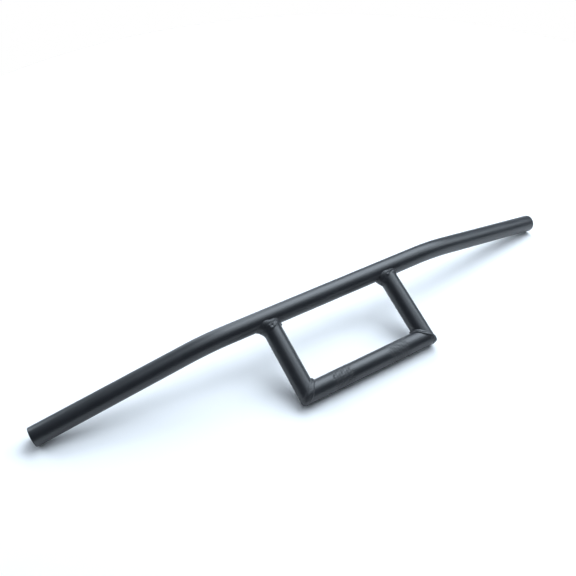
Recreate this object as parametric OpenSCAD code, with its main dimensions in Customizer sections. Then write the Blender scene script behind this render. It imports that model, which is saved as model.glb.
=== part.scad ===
// Motorcycle "window" handlebar: a bent top bar carried by two uprights on a mitred clamp tube.
// It lies at rest as on a table: on the clamp tube's welded corners and on the ends of the two grips.
// The origin is on the clamp tube's axis, midway between the two riser seats. X runs along the bar.

/* [Tube] */
// Outside diameter of every tube
tube_d = 25.4; // [22.2:0.1:28.6]
// Wall thickness of every tube
wall = 3.05; // [2:0.05:4]
// Chamfer around the mouth of each bar end, outside and inside
end_chamfer = 0.8; // [0.3:0.1:1.2]

/* [Top bar] */
// Length of the straight middle of the top bar
middle_length = 304; // [260:2:400]
// Radius of each bend, at the tube's centre line
bend_r = 260; // [150:5:400]
// Angle of each bend
bend_angle = 12.5; // [6:0.5:20]
// Straight length outside each bend, where a grip goes
grip_length = 202; // [150:1:240]
// How far the swept grips drop from a level pull back
drop_angle = 9.5; // [0:0.5:20]

/* [Window] */
// Rise from the clamp tube's axis to the top bar's axis
rise = 111; // [95:1:150]
// Distance between the axes of the two uprights
window_width = 189; // [170:1:220]
// Radius to which the outside of each mitred corner is ground round
corner_r = 8.5; // [4:0.5:10]

/* [Riser seats] */
// Distance between the middles of the two knurled riser seats
seat_spacing = 88.9; // [80:0.1:95]
// Length of each knurled riser seat along the tube
seat_length = 30; // [20:1:36]
// How far the knurl stands out of the tube
seat_height = 0.2; // [0.2:0.05:0.3]

/* [Welds] */
// Width of the bead over each mitred corner
mitre_bead_width = 6; // [3:0.5:8]
// How far the mitre bead stands out of the tube
mitre_bead_height = 0.8; // [0.3:0.1:1.5]
// How far the saddle bead stands out of the tube
saddle_bead_height = 1.6; // [0.8:0.1:2.5]
// Half the width of the saddle bead where it crosses the tubes' sides
saddle_bead_half = 4; // [2.5:0.5:6]
// Leg of the fillet that fills each inner corner of the saddle
saddle_leg = 7; // [5:0.5:10]

/* [Hidden] */
$fn = 96;

black = [0.09, 0.09, 0.10];
weld_black = [0.13, 0.13, 0.14];

tube_r = tube_d / 2;
bore_r = tube_r - wall;
seat_r = tube_r + seat_height;
corner_x = window_width / 2;
// spare length that carries a cutting shape clear of what it cuts
clear = 2;
// a bent tube is drawn a hair thinner, and the straight tubes lap onto its ends
bend_squeeze = 0.01;
overlap = 0.05;

// How far the bend brings the bar back by the time it reaches the chamfer that it rests on
sweep = bend_r * (1 - cos(bend_angle)) + (grip_length - end_chamfer) * sin(bend_angle);

// Height of the bar end's axis above its lowest point, with the window leaning by a
function end_height(a) =
    let (fall = sin(bend_angle) * (-sin(drop_angle) * sin(a) - cos(drop_angle) * cos(a)))
    tube_r * sqrt(1 - fall * fall);

// Lean at which the bar ends and the welded corners rest on one level, by repeated substitution
end_up = rise - sweep * sin(drop_angle);
end_back = sweep * cos(drop_angle);
rest_r = tube_r + mitre_bead_height;
function settled_lean(a, turns) =
    turns == 0 ? a
    : settled_lean(
        atan2(end_back, end_up) + asin((end_height(a) - rest_r) / norm([end_back, end_up])),
        turns - 1
    );
lean = settled_lean(25, 6);

// ---- shared shapes, in the window's own plane: X along the clamp tube, Y up the uprights ----

module in_window() {
    rotate([lean, 0, 0]) children();
}

module along_x() {
    rotate([0, 90, 0]) children();
}

module along_y() {
    rotate([-90, 0, 0]) children();
}

module ring(outer, inner) {
    difference() {
        circle(r = outer);
        circle(r = inner);
    }
}

// A slab that covers an outline, thicker than any tube
module slab(outline) {
    linear_extrude(height = 2 * tube_d, center = true) polygon(outline);
}

// What grinding takes off the outside of a corner. The corner is at the origin, and its tubes run
// along +X and +Y. The bead over the seam is ground too, and stays proud of the tubes.
module ground_off(proud) {
    tip = -tube_r - 2 * clear;
    linear_extrude(height = 2 * tube_d, center = true) difference() {
        translate([tip, tip]) square(corner_r - tube_r - tip);
        translate([corner_r - tube_r, corner_r - tube_r]) circle(r = corner_r + proud);
    }
}

// ---- top bar ----

// A straight length of tube from x = 0, with a mouth chamfered by c at its far end
module straight_tube(length, c) {
    along_x() rotate_extrude() polygon([
        [bore_r, -overlap],
        [tube_r, -overlap],
        [tube_r, length - c],
        [tube_r - c, length],
        [bore_r + c, length],
        [bore_r, length - c]
    ]);
}

module bar_half() {
    bend_x = middle_length / 2;
    bend_end_x = bend_x + bend_r * sin(bend_angle);
    bend_end_y = bend_r * (1 - cos(bend_angle));
    translate([bend_x, 0, 0]) mirror([1, 0, 0]) straight_tube(bend_x, 0);
    translate([bend_x, bend_r, 0]) rotate([0, 0, -90]) rotate_extrude(angle = bend_angle)
        translate([bend_r, 0]) ring(tube_r - bend_squeeze, bore_r - bend_squeeze);
    translate([bend_end_x, bend_end_y, 0]) rotate([0, 0, bend_angle])
        straight_tube(grip_length, end_chamfer);
}

module top_bar() {
    color(black) in_window() translate([0, rise, 0]) rotate([-90 - drop_angle, 0, 0]) {
        bar_half();
        mirror([1, 0, 0]) bar_half();
    }
}

// ---- uprights: mitred at the foot, coped to the top bar at the head ----

module upright() {
    difference() {
        along_y() translate([0, 0, -tube_r - clear])
            linear_extrude(height = rise + tube_r + clear) ring(tube_r, bore_r);
        // mitre: the corner's clamp tube lies on the +X side
        slab([
            [-tube_r - 2 * clear, -tube_r - 2 * clear],
            [tube_r + clear, tube_r + clear],
            [tube_r + clear, -tube_r - 2 * clear]
        ]);
        ground_off(0);
        translate([0, rise, 0]) along_x() cylinder(h = 2 * tube_d, r = tube_r, center = true);
    }
}

module left_upright() {
    color(black) in_window() translate([-corner_x, 0, 0]) upright();
}

module right_upright() {
    color(black) in_window() mirror([1, 0, 0]) translate([-corner_x, 0, 0]) upright();
}

// ---- clamp tube with its two knurled riser seats ----

module clamp_tube() {
    reach = corner_x + tube_r + clear;
    near = (seat_spacing - seat_length) / 2;
    far = (seat_spacing + seat_length) / 2;
    color(black) in_window() difference() {
        intersection() {
            along_x() rotate_extrude() polygon([
                [bore_r, -reach],
                [tube_r, -reach],
                [tube_r, -far],
                [seat_r, -far],
                [seat_r, -near],
                [tube_r, -near],
                [tube_r, near],
                [seat_r, near],
                [seat_r, far],
                [tube_r, far],
                [tube_r, reach],
                [bore_r, reach]
            ]);
            slab([
                [-reach, -tube_r - clear],
                [reach, -tube_r - clear],
                [corner_x - tube_r - clear, tube_r + clear],
                [-corner_x + tube_r + clear, tube_r + clear]
            ]);
        }
        translate([-corner_x, 0, 0]) ground_off(0);
        translate([corner_x, 0, 0]) mirror([1, 0, 0]) ground_off(0);
    }
}

// ---- saddle welds: a bead over the V-shaped seam, and a fillet in each inner corner ----

module saddle_weld() {
    h = saddle_bead_height;
    w = saddle_bead_half;
    leg = saddle_leg;
    side = tube_r + leg;
    outer = tube_r + h;
    // on the top bar, above the seam
    intersection() {
        along_x() linear_extrude(height = 4 * tube_d, center = true) ring(outer, tube_r);
        slab([[0, 0], [side, -side], [side, -tube_r], [0, w], [-side, -tube_r], [-side, -side]]);
        cube([2 * side, 2 * side, 2 * tube_d], center = true);
    }
    // on the upright, below the seam
    intersection() {
        along_y() linear_extrude(height = 4 * tube_d, center = true) ring(outer, tube_r);
        slab([[0, 0], [side, -side], [tube_r, -side], [0, -w], [-tube_r, -side], [-side, -side]]);
        cube([2 * side, 2 * side, 2 * tube_d], center = true);
    }
    for (s = [-1, 1]) corner_fillet(s);
}

// The fillet lies below the top bar and outside the upright, s says on which side.
module corner_fillet(s) {
    root = tube_r - 3;
    tip = tube_r + saddle_leg;
    difference() {
        linear_extrude(height = tube_d * 0.55, center = true) polygon([
            [s * root, -root],
            [s * tip, -root],
            [s * tip, -tube_r],
            [s * tube_r, -tip],
            [s * root, -tip]
        ]);
        along_x() cylinder(h = 4 * tube_d, r = tube_r, center = true);
        along_y() cylinder(h = 4 * tube_d, r = tube_r, center = true);
    }
}

module left_saddle_weld() {
    color(weld_black) in_window() translate([-corner_x, rise, 0]) saddle_weld();
}

module right_saddle_weld() {
    color(weld_black) in_window() translate([corner_x, rise, 0]) saddle_weld();
}

// ---- mitre welds: a low bead all round each corner seam ----

module rod(r) {
    cylinder(h = 4 * tube_d, r = r, center = true);
}

// side is 1 for the half of the bead on the clamp tube, and -1 for the half on the upright
module half_mitre_weld(side) {
    half = side * mitre_bead_width / sqrt(2);
    end = tube_r + clear;
    turn = side == 1 ? [0, 90, 0] : [-90, 0, 0];
    difference() {
        intersection() {
            rotate(turn) rod(tube_r + mitre_bead_height);
            slab([[-end, -end], [end, end], [end + half, end], [-end + half, -end]]);
        }
        difference() {
            rotate(turn) rod(tube_r);
            ground_off(0);
        }
        ground_off(mitre_bead_height);
    }
}

module mitre_weld() {
    half_mitre_weld(1);
    half_mitre_weld(-1);
}

module left_mitre_weld() {
    color(weld_black) in_window() translate([-corner_x, 0, 0]) mitre_weld();
}

module right_mitre_weld() {
    color(weld_black) in_window() mirror([1, 0, 0]) translate([-corner_x, 0, 0]) mitre_weld();
}

top_bar();
left_upright();
right_upright();
clamp_tube();
left_saddle_weld();
right_saddle_weld();
left_mitre_weld();
right_mitre_weld();
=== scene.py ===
"""Looks of a motorcycle window handlebar: a bent top bar, two uprights, a clamp tube and their welds.

Every piece is a closed skin, lofted ring by ring in the window's own frame (X along the clamp tube,
Y up the uprights, Z towards the side that the bar shows when it lies on a table), and is then leaned
back into the row frame. Lengths are in metres, and a name that ends in MM is in millimetres.
"""

import math

import bpy
import numpy as np
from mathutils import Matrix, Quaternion, Vector


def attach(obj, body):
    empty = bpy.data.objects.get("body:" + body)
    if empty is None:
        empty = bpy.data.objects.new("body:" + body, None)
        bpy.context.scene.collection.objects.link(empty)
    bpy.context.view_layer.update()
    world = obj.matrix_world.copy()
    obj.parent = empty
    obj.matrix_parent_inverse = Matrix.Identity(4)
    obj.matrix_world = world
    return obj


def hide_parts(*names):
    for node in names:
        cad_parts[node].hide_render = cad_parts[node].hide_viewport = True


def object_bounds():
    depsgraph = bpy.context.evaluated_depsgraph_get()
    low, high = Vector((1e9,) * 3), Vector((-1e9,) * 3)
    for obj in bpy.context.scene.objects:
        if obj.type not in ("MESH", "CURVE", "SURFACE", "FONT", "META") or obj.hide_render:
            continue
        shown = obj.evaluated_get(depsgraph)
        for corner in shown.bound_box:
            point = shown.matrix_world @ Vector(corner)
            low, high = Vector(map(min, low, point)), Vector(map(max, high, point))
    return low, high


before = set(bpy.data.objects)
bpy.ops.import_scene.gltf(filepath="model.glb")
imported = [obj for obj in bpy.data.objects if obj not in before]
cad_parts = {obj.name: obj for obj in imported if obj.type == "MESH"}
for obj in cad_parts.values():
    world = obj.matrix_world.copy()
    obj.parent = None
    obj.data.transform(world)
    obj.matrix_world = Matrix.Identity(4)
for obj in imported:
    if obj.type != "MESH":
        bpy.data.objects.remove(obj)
CAD_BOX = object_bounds()

# ---- driving sizes, the same as the CAD's ----
MM = 0.001
TUBE_R = 12.7 * MM
BORE_R = 9.65 * MM
MOUTH_ROUND = 0.8 * MM
MIDDLE_LENGTH = 304 * MM
BEND_R = 260 * MM
BEND_ANGLE = math.radians(12.5)
GRIP_LENGTH = 202 * MM
DROP_ANGLE = math.radians(9.5)
RISE = 111 * MM
CORNER_X = 189 * MM / 2
GROUND_R = 8.5 * MM
SEAT_SPACING = 88.9 * MM
SEAT_LENGTH = 30 * MM
LEAN = math.radians(24.956)

# the upright's end stops this far below the top bar's axis on its front and back, under the weld
SADDLE_DIP = 7.4 * MM

FLOOR_Z = CAD_BOX[0].z


# ---- mesh building ----


def in_row_frame(points):
    """Points of the window's frame, leaned back about the clamp tube's axis."""
    x, y, z = np.moveaxis(np.asarray(points, float), -1, 0)
    c, s = math.cos(LEAN), math.sin(LEAN)
    return np.stack([x, y * c - z * s, y * s + z * c], -1)


def signed_volume(points, quads):
    a, b, c, d = (points[quads[:, k]] for k in range(4))
    return np.einsum("ij,ij->", a, np.cross(b, c)) + np.einsum("ij,ij->", a, np.cross(c, d))


def loft(name, rings, materials, inside=None, sharp_angle=40):
    """A closed skin through rings of the same number of points, whose last ring joins the first.

    inside says, ring by ring, how far the metal there is from the coat: 0 coated, 1 bare.
    """
    rings = np.asarray(rings, float)
    count, around = rings.shape[:2]
    points = in_row_frame(rings.reshape(-1, 3))
    i, j = np.meshgrid(np.arange(count), np.arange(around), indexing="ij")
    up, on = (i + 1) % count, (j + 1) % around
    quads = np.stack([i * around + j, i * around + on, up * around + on, up * around + j], -1).reshape(-1, 4)
    if signed_volume(points, quads) < 0:
        quads = quads[:, ::-1]
    mesh = bpy.data.meshes.new(name)
    mesh.from_pydata(points.tolist(), [], quads.tolist())
    mesh.shade_smooth()
    mesh.set_sharp_from_angle(angle=math.radians(sharp_angle))
    bare = np.zeros(count) if inside is None else np.asarray(inside, float)
    mesh.attributes.new("bare", "FLOAT", "POINT").data.foreach_set(
        "value", np.repeat(bare, around).astype(np.float32)
    )
    for material in materials:
        mesh.materials.append(material)
    piece = bpy.data.objects.new(name, mesh)
    bpy.context.scene.collection.objects.link(piece)
    return piece


def place(piece, node, slot):
    """The piece stands for the CAD node, which is hidden, and hangs from the root body. slot is not used."""
    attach(piece, "root")
    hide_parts(node)
    return piece


def angles(count):
    return np.arange(count) * (2 * math.pi / count)


# ---- top bar: one tube through two bends ----


def bar_frame(run):
    """At each run along the centre line from its middle: the centre, and the across direction in the bends' plane."""
    run = np.asarray(run, float)
    side, length = np.sign(run), np.abs(run)
    straight = MIDDLE_LENGTH / 2
    turn = np.clip((length - straight) / BEND_R, 0, BEND_ANGLE)
    beyond = np.maximum(length - straight - BEND_R * BEND_ANGLE, 0)
    out = np.minimum(length, straight) + BEND_R * np.sin(turn) + beyond * np.cos(turn)
    back = BEND_R * (1 - np.cos(turn)) + beyond * np.sin(turn)
    backward = np.array([0, -math.sin(DROP_ANGLE), -math.cos(DROP_ANGLE)])
    along_x = np.array([1.0, 0, 0])
    centre = (side * out)[:, None] * along_x + back[:, None] * backward + np.array([0, RISE, 0])
    across = np.cos(turn)[:, None] * backward - (side * np.sin(turn))[:, None] * along_x
    return centre, across


def build_top_bar(materials):
    around = 128
    end = MIDDLE_LENGTH / 2 + BEND_R * BEND_ANGLE + GRIP_LENGTH
    bend_start = MIDDLE_LENGTH / 2
    bend_end = bend_start + BEND_R * BEND_ANGLE
    half = np.concatenate([
        np.linspace(0, bend_start, 15)[:-1],
        np.linspace(bend_start, bend_end, 33)[:-1],
        np.linspace(bend_end, end - MOUTH_ROUND, 21),
    ])
    stations = np.concatenate([-half[:0:-1], half])
    quarter = np.linspace(0, math.pi / 2, 7)[1:-1]
    lip_run = end - MOUTH_ROUND + MOUTH_ROUND * np.sin(quarter)
    lip_out = TUBE_R - MOUTH_ROUND + MOUTH_ROUND * np.cos(quarter)
    lip_in = BORE_R + MOUTH_ROUND - MOUTH_ROUND * np.cos(quarter)
    # out along the skin, round one lip, back through the bore, and round the other lip
    lip = [(end, TUBE_R - MOUTH_ROUND), (end, BORE_R + MOUTH_ROUND)]
    right_lip = [*zip(lip_run, lip_out), *lip, *zip(lip_run[::-1], lip_in[::-1])]
    left_lip = [(-run, radius) for run, radius in right_lip[::-1]]
    path = [(s, TUBE_R) for s in stations] + right_lip + [(s, BORE_R) for s in stations[::-1]] + left_lip
    run, radius = np.array(path).T
    centre, across = bar_frame(run)
    backward = np.array([0, -math.sin(DROP_ANGLE), -math.cos(DROP_ANGLE)])
    upward = np.cross([1.0, 0, 0], backward)
    turn = angles(around)
    spoke = np.cos(turn)[None, :, None] * upward + np.sin(turn)[None, :, None] * across[:, None]
    rings = centre[:, None] + radius[:, None, None] * spoke
    depth = np.clip((end - np.abs(run)) / (25 * MM), 0, 1)
    bare = np.where(radius < BORE_R + 0.3 * MOUTH_ROUND, 0.35 + 0.65 * depth, 0)
    return loft("top_bar_tube", rings, materials, bare)


# ---- window frame tubes ----


def ground_limit(offset):
    """Where a tube's end stops beside a mitred corner: on the mitre, or on the corner's ground round."""
    middle = GROUND_R - TUBE_R
    drop = np.clip(middle - offset, 0, GROUND_R)
    round_end = middle - np.sqrt(GROUND_R**2 - drop**2)
    return np.where(offset < middle, np.maximum(offset, round_end), offset)


def weld_prep(radius):
    """How far a tube's end is bevelled back at a radius, as it is before it is welded."""
    bevel = 1.6 * MM
    return np.clip(radius - (TUBE_R - bevel), 0, bevel)


def build_upright(name, side, materials):
    turn = angles(128)
    wall = np.linspace(BORE_R, TUBE_R, 8)
    share = np.linspace(0, 1, 24)

    def ring(radius, y):
        return np.stack([radius * np.cos(turn), y, radius * np.sin(turn)], -1)

    def foot(radius):
        return ground_limit(radius * np.cos(turn)) + weld_prep(radius)

    def head(radius):
        cope = np.sqrt(np.maximum(TUBE_R**2 - (radius * np.sin(turn)) ** 2, 0))
        return RISE - soft_max(cope, SADDLE_DIP) - 0.6 * weld_prep(radius)

    rings = [ring(r, foot(r)) for r in wall]
    rings += [ring(TUBE_R, foot(TUBE_R) + t * (head(TUBE_R) - foot(TUBE_R))) for t in share[1:-1]]
    rings += [ring(r, head(r)) for r in wall[::-1]]
    rings += [ring(BORE_R, head(BORE_R) + t * (foot(BORE_R) - head(BORE_R))) for t in share[1:-1]]
    rings = np.array(rings)
    rings[..., 0] -= CORNER_X
    rings[..., 0] *= -side
    bare = [0] * (2 * len(wall) + len(share) - 2) + [1] * (len(share) - 2)
    return loft(name, rings, materials, bare)


def knurl(turn, x):
    """Height of the riser seats' diamond knurl: 1 on its flats, down to 0 where the coat clogs it least."""
    starts = 36
    pitch = 3.0 * MM

    def groove(phase):
        saw = np.abs(2 * (phase - np.floor(phase)) - 1)
        step = np.clip(saw / 0.62, 0, 1)
        return step * step * (3 - 2 * step)

    lead = starts * turn / (2 * math.pi)
    clogged = 0.55 + 0.45 * np.sin(6 * turn + 1.1 * x / MM) * np.cos(2 * turn - 0.5 * x / MM)
    return 1 - clogged * (1 - np.minimum(groove(lead + x / pitch), groove(lead - x / pitch)))


def build_clamp_tube(materials):
    turn = angles(324)
    wall = np.linspace(BORE_R, TUBE_R, 8)
    near = (SEAT_SPACING - SEAT_LENGTH) / 2
    far = (SEAT_SPACING + SEAT_LENGTH) / 2
    knurl_in, knurl_out = 0.36 * MM, 0.08 * MM
    run_out = 0.7 * MM

    def ring(radius, x):
        radius = radius * np.ones_like(turn)
        return np.stack([x * np.ones_like(turn), radius * np.cos(turn), radius * np.sin(turn)], -1)

    def end(radius):
        return -CORNER_X + ground_limit(radius * np.cos(turn)) + weld_prep(radius)

    def skin(x):
        edge = min(abs(x) - near, far - abs(x)) / run_out
        amount = min(max(edge, 0), 1)
        return TUBE_R + amount * (knurl(turn, x) * (knurl_in + knurl_out) - knurl_in)

    plain = np.linspace(0, 1, 7)[1:-1]
    seat = np.linspace(-far, -near, 91)
    half = [ring(TUBE_R, end(TUBE_R) + t * (-far - end(TUBE_R))) for t in plain]
    half += [ring(skin(x), x) for x in seat]
    half += [ring(TUBE_R, -near + t * near) for t in plain]
    mouth = [ring(r, end(r)) for r in wall]
    bore = [ring(BORE_R, end(BORE_R) * (1 - t)) for t in np.linspace(0, 1, 8)[1:]]
    left = mouth + half + [ring(TUBE_R, 0)]
    mirror = np.array([-1, 1, 1])
    right = [r * mirror for r in (mouth + half)[::-1]]
    back = [r * mirror for r in bore] + bore[-2::-1]
    rings = left + right + back
    bare = [0] * (len(left) + len(right)) + [1] * len(back)
    return loft("clamp_tube_knurled", rings, materials, bare)


# ---- weld beads ----


def settle(t, spread):
    """A ramp from 0 at t = -1 to 1 at t = 1, which bends near 0: sharp for spread 0, straight if large."""
    top = (np.sqrt(1 + spread**2) - 1) / 2
    return (t + np.sqrt(t * t + spread**2)) / 2 - top


def unit(v):
    return v / np.linalg.norm(v, axis=-1, keepdims=True)


def soft_max(value, floor, power=3):
    return (np.abs(value) ** power + np.abs(floor) ** power) ** (1 / power)


def crescents(root, t, pitch):
    """The bead's ripples, as a height from -1 to 1: crescents that trail behind the weld pool."""
    step = np.linalg.norm(np.roll(root, -1, 0) - root, axis=1)
    count = round(step.sum() / pitch)
    run = np.concatenate([[0], np.cumsum(step)[:-1]]) / step.sum() * count
    phase = run[:, None] + 0.55 * t**2
    saw = phase - np.floor(phase)
    return np.where(saw < 0.75, saw / 0.75, (1 - saw) / 0.25) * 2 - 1


def lumps(turn, waves):
    """The uneven pace of a hand weld: a sum of (waves round the seam, size, phase)."""
    return sum(size * np.cos(n * turn + phase) for n, size, phase in waves)


def spots(turn, place, marks):
    """Single lumps and pits. Each mark is (angle round the tube, place across, height, size)."""
    total = np.zeros(np.broadcast(turn, place).shape)
    for angle, middle, height, size in marks:
        away = np.angle(np.exp(1j * (turn - math.radians(angle)))) * TUBE_R
        total += height * np.exp(-(away**2 + (place - middle) ** 2) / size**2)
    return total


def bead(name, foot, root, head, foot_normal, head_normal, t, height, spread, shape, materials, limit=None):
    """A closed bead over a seam. Its skin runs from the foot toe over the root to the head toe."""
    a, b = settle(-t, spread)[..., None], settle(t, spread)[..., None]
    skin = root[:, None] + (foot - root)[:, None] * a + (head - root)[:, None] * b
    if limit is not None:
        skin = limit(skin)
    share = ((t + 1) / 2) ** 2 * (2 - t)
    normal = unit(foot_normal[:, None] * (1 - share[..., None]) + head_normal[:, None] * share[..., None])
    skin = skin + normal * height[..., None]
    keel = 1.4 * MM
    base = root if limit is None else limit(root)
    under = base - unit(foot_normal + head_normal) * keel
    inner_head = head - head_normal * 0.7 * MM
    inner_foot = foot - foot_normal * 0.7 * MM
    rings = [skin[:, k] for k in range(skin.shape[1])] + [inner_head, under, inner_foot]
    rings = np.array([shape(r) for r in rings])
    return loft(name, rings, materials, sharp_angle=60)


def build_saddle_weld(name, x_middle, corners, wash, waves, marks, materials):
    """The bead where an upright meets the top bar.

    corners gives, for the -X and the +X inner corner, how far its fillet reaches along the bar, how
    far down the upright, how flat it is, and how far it bulges. wash is how far the weld reaches
    down the upright's face. marks are (angle, distance below the bar's axis, height, size) in mm.
    """
    turn = angles(480)
    t = np.linspace(-1, 1, 49)[None, :] * np.ones((turn.size, 1))
    c, s = np.cos(turn), np.sin(turn)
    left = np.clip(-c, 0, 1) ** 1.6
    right = np.clip(c, 0, 1) ** 1.6
    face = 1 - left - right
    facing = (0.9 * MM, wash, 0.5, 0)
    leg_bar, leg_up, flat, bulge = (a * left + b * right + f * face for a, b, f in zip(*corners, facing))
    root = np.stack([TUBE_R * c, RISE - soft_max(TUBE_R * c, SADDLE_DIP), TUBE_R * s], -1)
    foot = root - np.stack([0 * c, leg_up, 0 * c], -1)
    foot_normal = np.stack([c, 0 * c, s], -1)
    # the head toe's place on the top bar: along it, and round it from its lowest line
    share = np.abs(np.arcsin(s)) / (math.pi / 2)
    tip = 0.37
    climb = 1 - ((1 - share) ** 3 + tip**3) ** (1 / 3) / (1 + tip**3) ** (1 / 3)
    lift = np.sign(s) * climb * math.pi / 2 + leg_bar * s / TUBE_R
    head = np.stack([(TUBE_R + leg_bar) * c, RISE - TUBE_R * np.cos(lift), TUBE_R * np.sin(lift)], -1)
    head_normal = np.stack([0 * c, -np.cos(lift), np.sin(lift)], -1)
    # a crest just below the head toe, which thins out down the upright
    crest = 1.05 * MM * np.exp(-(((t - 0.15) / np.where(t < 0.15, 0.30, 0.55)) ** 2))
    rise_in = np.clip((t + 1) / 0.5, 0, 1) ** 2 * (3 - 2 * np.clip((t + 1) / 0.5, 0, 1))
    thin = 0.30 * MM * rise_in
    fade = (1 - np.clip(t, 0, 1) ** 6) * rise_in
    height = ((crest + thin) * face[:, None] + bulge[:, None] * (1 - t**2)) * fade
    sweep = turn[:, None] + 0.7 * t
    ripple = crescents(root, t, 2.3 * MM)
    height += (0.07 * MM * ripple + lumps(sweep, waves) * MM) * fade * (1 - t**4)
    below = soft_max(TUBE_R * c, SADDLE_DIP)[:, None] + leg_up[:, None] * np.clip(-t, 0, 1)
    in_metres = [(angle, down * MM, up * MM, size * MM) for angle, down, up, size in marks]
    height += spots(turn[:, None], below, in_metres) * rise_in
    height -= 0.12 * MM * np.where(t < 0, t**12, 2 * t**8)

    def shape(ring):
        return ring + np.array([x_middle, 0, 0])

    return bead(name, foot, root, head, foot_normal, head_normal, t, height, flat[:, None], shape, materials)


def build_mitre_weld(name, side, half_width, overrun, crown, toe_ridge, waves, marks, materials):
    """The bead round a lower corner. It is ground to a round where it runs over the outside.

    overrun is how much further it spreads over the clamp tube's front, and toe_ridge is a thin
    ridge left along that edge. marks are (angle, share across, height, size), the last two in mm.
    """
    turn = angles(400)
    t = np.linspace(-1, 1, 37)[None, :] * np.ones((turn.size, 1))
    c, s = np.cos(turn), np.sin(turn)
    outside = np.clip(-c, 0, 1) ** 2
    inside = np.clip(c, 0, 1) ** 6
    reach = half_width * (1 - outside) + (GROUND_R + 0.6 * MM) * outside
    slant = np.sqrt(1 + s * s)
    root = np.stack([TUBE_R * c, TUBE_R * c, TUBE_R * s], -1)

    def toe(reach):
        """The toe square to the seam on the upright; mirrored in the mitre, it is the clamp tube's."""
        moved = turn + reach * s / slant / TUBE_R
        at = np.stack([TUBE_R * np.cos(moved), TUBE_R * c + reach / slant, TUBE_R * np.sin(moved)], -1)
        return at, np.stack([np.cos(moved), 0 * c, np.sin(moved)], -1)

    on_upright, upright_normal = toe(reach)
    further = overrun * np.clip(np.sin(turn - 0.5), 0, 1) ** 4 * (1 - outside)
    on_tube, tube_normal = (a[:, [1, 0, 2]] for a in toe(reach + further))
    hand_laid = (1 - 0.7 * outside)[:, None]
    dome = np.maximum(1 - t**2, 0)
    underside = np.clip(-s, 0, 1)[:, None] ** 2
    full = (1 - 0.35 * outside[:, None]) * (1 - 0.6 * underside)
    height = crown * full * dome**0.6 + 1.0 * MM * inside[:, None] * dome
    height += toe_ridge * np.exp(-(((t - 0.72) / 0.13) ** 2)) * (1 - inside[:, None]) * (1 - underside)
    ripple = crescents(root, t, 2.1 * MM)
    height += (0.08 * MM * ripple + lumps(turn[:, None] + 0.5 * t, waves) * MM) * hand_laid * dome
    across = [(angle, place * reach.mean(), up * MM, size * MM) for angle, place, up, size in marks]
    height += spots(turn[:, None], t * reach.mean(), across)
    height -= 0.15 * MM * t**8
    spread = 0.35 + 0.65 * inside[:, None]
    middle = GROUND_R - TUBE_R

    def ground(skin):
        x, y = skin[..., 0] - middle, skin[..., 1] - middle
        far = np.hypot(x, y)
        cut = (x < 0) & (y < 0) & (far > GROUND_R)
        scale = np.where(cut, GROUND_R / np.maximum(far, 1e-9), 1)
        return np.stack([middle + x * scale, middle + y * scale, skin[..., 2]], -1)

    def shape(ring):
        return (ring - np.array([CORNER_X, 0, 0])) * np.array([-side, 1, 1])

    return bead(
        name, on_upright, root, on_tube, upright_normal, tube_normal,
        t, height, spread, shape, materials, ground,
    )


# ---- materials ----


def shader(name):
    material = bpy.data.materials.new(name)
    material.use_nodes = True
    tree = material.node_tree
    return material, tree, tree.nodes["Principled BSDF"]


def add_node(tree, kind, **settings):
    """A node with its settings: properties by name, and inputs by in_ and their name."""
    made = tree.nodes.new(kind)
    for key, value in settings.items():
        if key.startswith("in_"):
            made.inputs[key[3:].replace("_", " ")].default_value = value
        else:
            setattr(made, key, value)
    return made


def noise(tree, place, scale, detail=2.0, roughness=0.5):
    made = add_node(tree, "ShaderNodeTexNoise", in_Scale=scale, in_Detail=detail, in_Roughness=roughness)
    tree.links.new(place.outputs["Object"], made.inputs["Vector"])
    return made.outputs["Fac"]


def ramp(tree, fac, stops):
    """stops are (position, grey or colour)."""
    made = add_node(tree, "ShaderNodeValToRGB")
    tree.links.new(fac, made.inputs["Fac"])
    elements = made.color_ramp.elements
    while len(elements) < len(stops):
        elements.new(0.5)
    for element, (position, colour) in zip(elements, stops):
        element.position = position
        element.color = (*colour, 1) if hasattr(colour, "__len__") else (colour, colour, colour, 1)
    return made.outputs["Color"]


def mix(tree, fac, a, b):
    made = add_node(tree, "ShaderNodeMix", data_type="RGBA")
    for socket, value in (("Factor", fac), ("A", a), ("B", b)):
        inputs = [i for i in made.inputs if i.name == socket and i.enabled]
        if isinstance(value, bpy.types.NodeSocket):
            tree.links.new(value, inputs[0])
        else:
            inputs[0].default_value = value if socket == "Factor" else (*value, 1)
    return [o for o in made.outputs if o.enabled][0]


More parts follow.
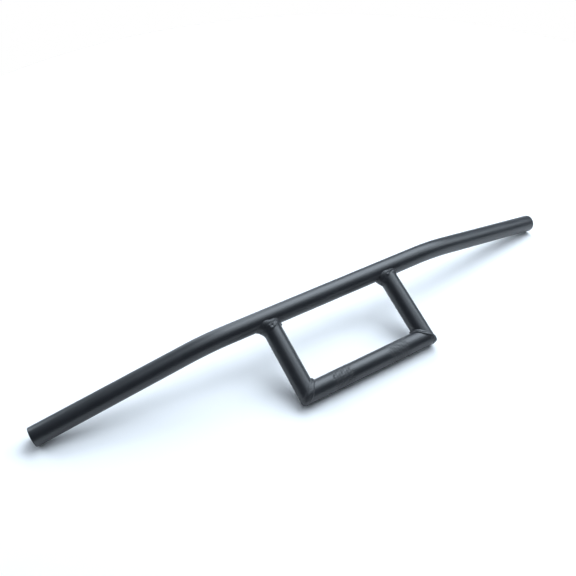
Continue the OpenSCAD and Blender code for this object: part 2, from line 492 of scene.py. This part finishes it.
def powder_coat(name, low, high, grain, rough_low, rough_high):
    """Satin black powder coat: fine orange peel, faint clouds in its gloss, and a few specks of dust."""
    material, tree, bsdf = shader(name)
    place_node = add_node(tree, "ShaderNodeTexCoord")
    clouds = noise(tree, place_node, 28, 4)
    peel = noise(tree, place_node, grain, 2)
    fine = noise(tree, place_node, grain * 3.1, 2)
    specks = noise(tree, place_node, 1900, 1)
    coat = mix(tree, ramp(tree, clouds, [(0.35, 0.0), (0.65, 1.0)]), low, high)
    dusty = mix(tree, ramp(tree, specks, [(0.76, 0.0), (0.80, 0.6)]), coat, (0.09, 0.09, 0.095))
    # inside the tubes the coat thins out to dull steel
    bare = add_node(tree, "ShaderNodeAttribute", attribute_name="bare")
    steel_grain = noise(tree, place_node, 160, 5)
    steel = mix(tree, steel_grain, (0.035, 0.033, 0.031), (0.075, 0.072, 0.07))
    colour = mix(tree, bare.outputs["Fac"], dusty, steel)
    tree.links.new(colour, bsdf.inputs["Base Color"])
    rough = ramp(tree, clouds, [(0.3, rough_low), (0.7, rough_high)])
    tree.links.new(rough, bsdf.inputs["Roughness"])
    bump = add_node(tree, "ShaderNodeBump", in_Strength=0.22, in_Distance=0.00012)
    tree.links.new(peel, bump.inputs["Height"])
    tighter = add_node(tree, "ShaderNodeBump", in_Strength=0.12, in_Distance=0.00005)
    tree.links.new(fine, tighter.inputs["Height"])
    tree.links.new(bump.outputs["Normal"], tighter.inputs["Normal"])
    tree.links.new(tighter.outputs["Normal"], bsdf.inputs["Normal"])
    bsdf.inputs["IOR"].default_value = 1.58
    bsdf.inputs["Metallic"].default_value = 0.0
    return material


def floor_material():
    material, tree, bsdf = shader("pale_floor")
    place_node = add_node(tree, "ShaderNodeTexCoord")
    mottle = noise(tree, place_node, 3, 3)
    colour = mix(tree, mottle, (0.90, 0.90, 0.90), (0.93, 0.93, 0.93))
    tree.links.new(colour, bsdf.inputs["Base Color"])
    bsdf.inputs["Roughness"].default_value = 0.85
    bsdf.inputs["Specular IOR Level"].default_value = 0.1
    return material


# ---- the object ----


def build_handlebar():
    coat = powder_coat("satin_black_coat", (0.0095, 0.0110, 0.0140), (0.0135, 0.0155, 0.0190), 900, 0.36, 0.40)
    weld_coat = powder_coat("satin_black_weld", (0.0110, 0.0125, 0.0155), (0.0155, 0.0175, 0.0210), 1200, 0.38, 0.46)
    place(build_top_bar([coat]), "top_bar", "black_tube")
    place(build_upright("left_upright_tube", -1, [coat]), "left_upright", "black_tube")
    place(build_upright("right_upright_tube", 1, [coat]), "right_upright", "black_tube")
    place(build_clamp_tube([coat]), "clamp_tube", "black_tube")
    left_saddle = build_saddle_weld(
        "left_saddle_bead",
        -CORNER_X,
        ((9 * MM, 9.5 * MM, 1.6, 0.2 * MM), (3.5 * MM, 5 * MM, 1.4, 0.6 * MM)),
        15 * MM,
        [(3, 0.12, 0.4), (7, 0.12, 2.1), (11, 0.08, 1.0)],
        [
            (100, 16, 0.8, 6.5), (116, 12, 0.9, 2.2), (66, 13, 0.7, 2.4), (112, 18, 0.7, 2.2),
            (94, 25, 0.7, 2.6), (88, 19.5, -0.9, 2.2), (98, 14.5, -0.8, 1.8), (8, 16, 1.2, 2.8),
            (265, 15, 0.8, 5.0), (262, 14, 0.5, 2.2), (284, 19, -0.4, 2.0), (240, 18, 0.4, 2.2),
        ],
        [weld_coat],
    )
    place(left_saddle, "left_saddle_weld", "black_weld")
    right_saddle = build_saddle_weld(
        "right_saddle_bead",
        CORNER_X,
        ((6.5 * MM, 9.5 * MM, 3.0, 0.7 * MM), (3.5 * MM, 4 * MM, 1.2, 0.3 * MM)),
        9 * MM,
        [(3, 0.10, 1.4), (8, 0.12, 0.3), (12, 0.08, 2.0)],
        [
            (112, 11, 0.7, 1.8), (64, 11, 0.6, 2.2), (90, 13, -0.4, 2.0), (184, 16, 0.9, 1.5),
            (176, 19, -0.6, 1.2), (160, 15, 0.8, 1.6), (148, 17, -0.5, 1.4), (202, 17, -0.6, 1.4),
            (255, 12, 0.6, 2.0), (290, 14, -0.4, 2.0),
        ],
        [weld_coat],
    )
    place(right_saddle, "right_saddle_weld", "black_weld")
    left_mitre = build_mitre_weld(
        "left_mitre_bead", -1, 3.6 * MM, 4.0 * MM, 0.9 * MM, 0.4 * MM,
        [(3, 0.08, 0.2), (6, 0.08, 1.1), (10, 0.06, 0.5)],
        [(150, -0.2, -0.45, 1.3), (138, 0.35, 0.35, 1.5), (128, -0.4, 0.3, 1.4)],
        [weld_coat],
    )
    place(left_mitre, "left_mitre_weld", "black_weld")
    right_mitre = build_mitre_weld(
        "right_mitre_bead", 1, 3.2 * MM, 0, 1.45 * MM, 0,
        [(3, 0.10, 1.2), (7, 0.10, 0.1), (11, 0.06, 0.7)],
        [
            (112, 0.55, -0.50, 1.0), (124, 0.25, -0.45, 0.9), (132, 0.65, -0.50, 1.1),
            (142, -0.1, -0.40, 0.9), (150, 0.5, -0.50, 1.0), (104, 0.85, 0.30, 1.0),
        ],
        [weld_coat],
    )
    place(right_mitre, "right_mitre_weld", "black_weld")


# ---- studio ----

WORLD_DIM = (0.08, 0.09, 0.105)
WORLD_BRIGHT = (0.10, 0.11, 0.13)


def build_floor():
    radius, middle_x, middle_y = 1.0, 0.15, 0.15
    mesh = bpy.data.meshes.new("floor")
    edge = [(middle_x + radius * math.cos(a), middle_y + radius * math.sin(a), FLOOR_Z) for a in angles(96)]
    mesh.from_pydata(edge, [], [tuple(range(len(edge)))])
    mesh.materials.append(floor_material())
    floor = bpy.data.objects.new("floor", mesh)
    bpy.context.scene.collection.objects.link(floor)


def area_light(name, towards, distance, size, power, colour):
    """A square soft light at a distance from the object, in the direction towards."""
    data = bpy.data.lights.new(name, "AREA")
    data.size = size
    data.energy = power
    data.color = colour
    light = bpy.data.objects.new(name, data)
    direction = Vector(towards).normalized()
    light.location = direction * distance
    light.rotation_mode = "QUATERNION"
    light.rotation_quaternion = (-direction).to_track_quat("-Z", "Y")
    bpy.context.scene.collection.objects.link(light)


def build_world():
    """A pale room, bright behind the object and dim on the camera's side; the backdrop shows plain white."""
    world = bpy.data.worlds.new("studio")
    world.use_nodes = True
    tree = world.node_tree
    background = tree.nodes["Background"]
    place_node = add_node(tree, "ShaderNodeTexCoord")
    facing = add_node(tree, "ShaderNodeVectorMath", operation="DOT_PRODUCT")
    facing.inputs[1].default_value = (-0.1, 0.93, 0.35)
    tree.links.new(place_node.outputs["Generated"], facing.inputs[0])
    share = add_node(tree, "ShaderNodeMapRange", in_From_Min=-0.35, in_From_Max=0.75)
    tree.links.new(facing.outputs["Value"], share.inputs["Value"])
    room = mix(tree, share.outputs["Result"], WORLD_DIM, WORLD_BRIGHT)
    seen = add_node(tree, "ShaderNodeLightPath")
    tree.links.new(mix(tree, seen.outputs["Is Camera Ray"], room, (1, 1, 1)), background.inputs["Color"])
    bpy.context.scene.world = world
    bpy.context.scene.view_settings.view_transform = "Standard"


def build_lights():
    """Soft boxes round the object, the strongest up to its right; each is (name, direction, size, power)."""
    boxes = [
        ("key", (0.52, 0.32, 0.78), 1.7, 49),
        ("top", (0.20, 0.06, 0.98), 2.2, 31),
        ("back", (0.28, 0.72, 0.62), 1.0, 13),
        ("back_low", (0.15, 0.95, 0.27), 1.0, 9),
        ("back_left", (-0.58, 0.72, 0.36), 1.2, 26),
        ("right", (0.80, -0.15, 0.58), 1.2, 18),
    ]
    for name, towards, size, power in boxes:
        area_light(name, towards, 2.4, size, power, (0.80, 0.90, 1.0))


def build_camera():
    location = Vector((-0.4291, -0.4717, 0.6942))
    azimuth, elevation, roll = math.radians(-32.70), math.radians(41.88), math.radians(1.03)
    back = Vector((
        math.sin(azimuth) * math.cos(elevation),
        -math.cos(azimuth) * math.cos(elevation),
        math.sin(elevation),
    ))
    data = bpy.data.cameras.new("camera")
    data.lens = 44.9
    data.sensor_width = 36
    data.clip_start = 0.01
    data.clip_end = 50
    camera = bpy.data.objects.new("camera", data)
    camera.location = location
    camera.rotation_mode = "QUATERNION"
    camera.rotation_quaternion = (-back).to_track_quat("-Z", "Y") @ Quaternion((0, 0, 1), roll)
    bpy.context.scene.collection.objects.link(camera)
    bpy.context.scene.camera = camera


build_handlebar()
build_floor()
build_world()
build_lights()
build_camera()
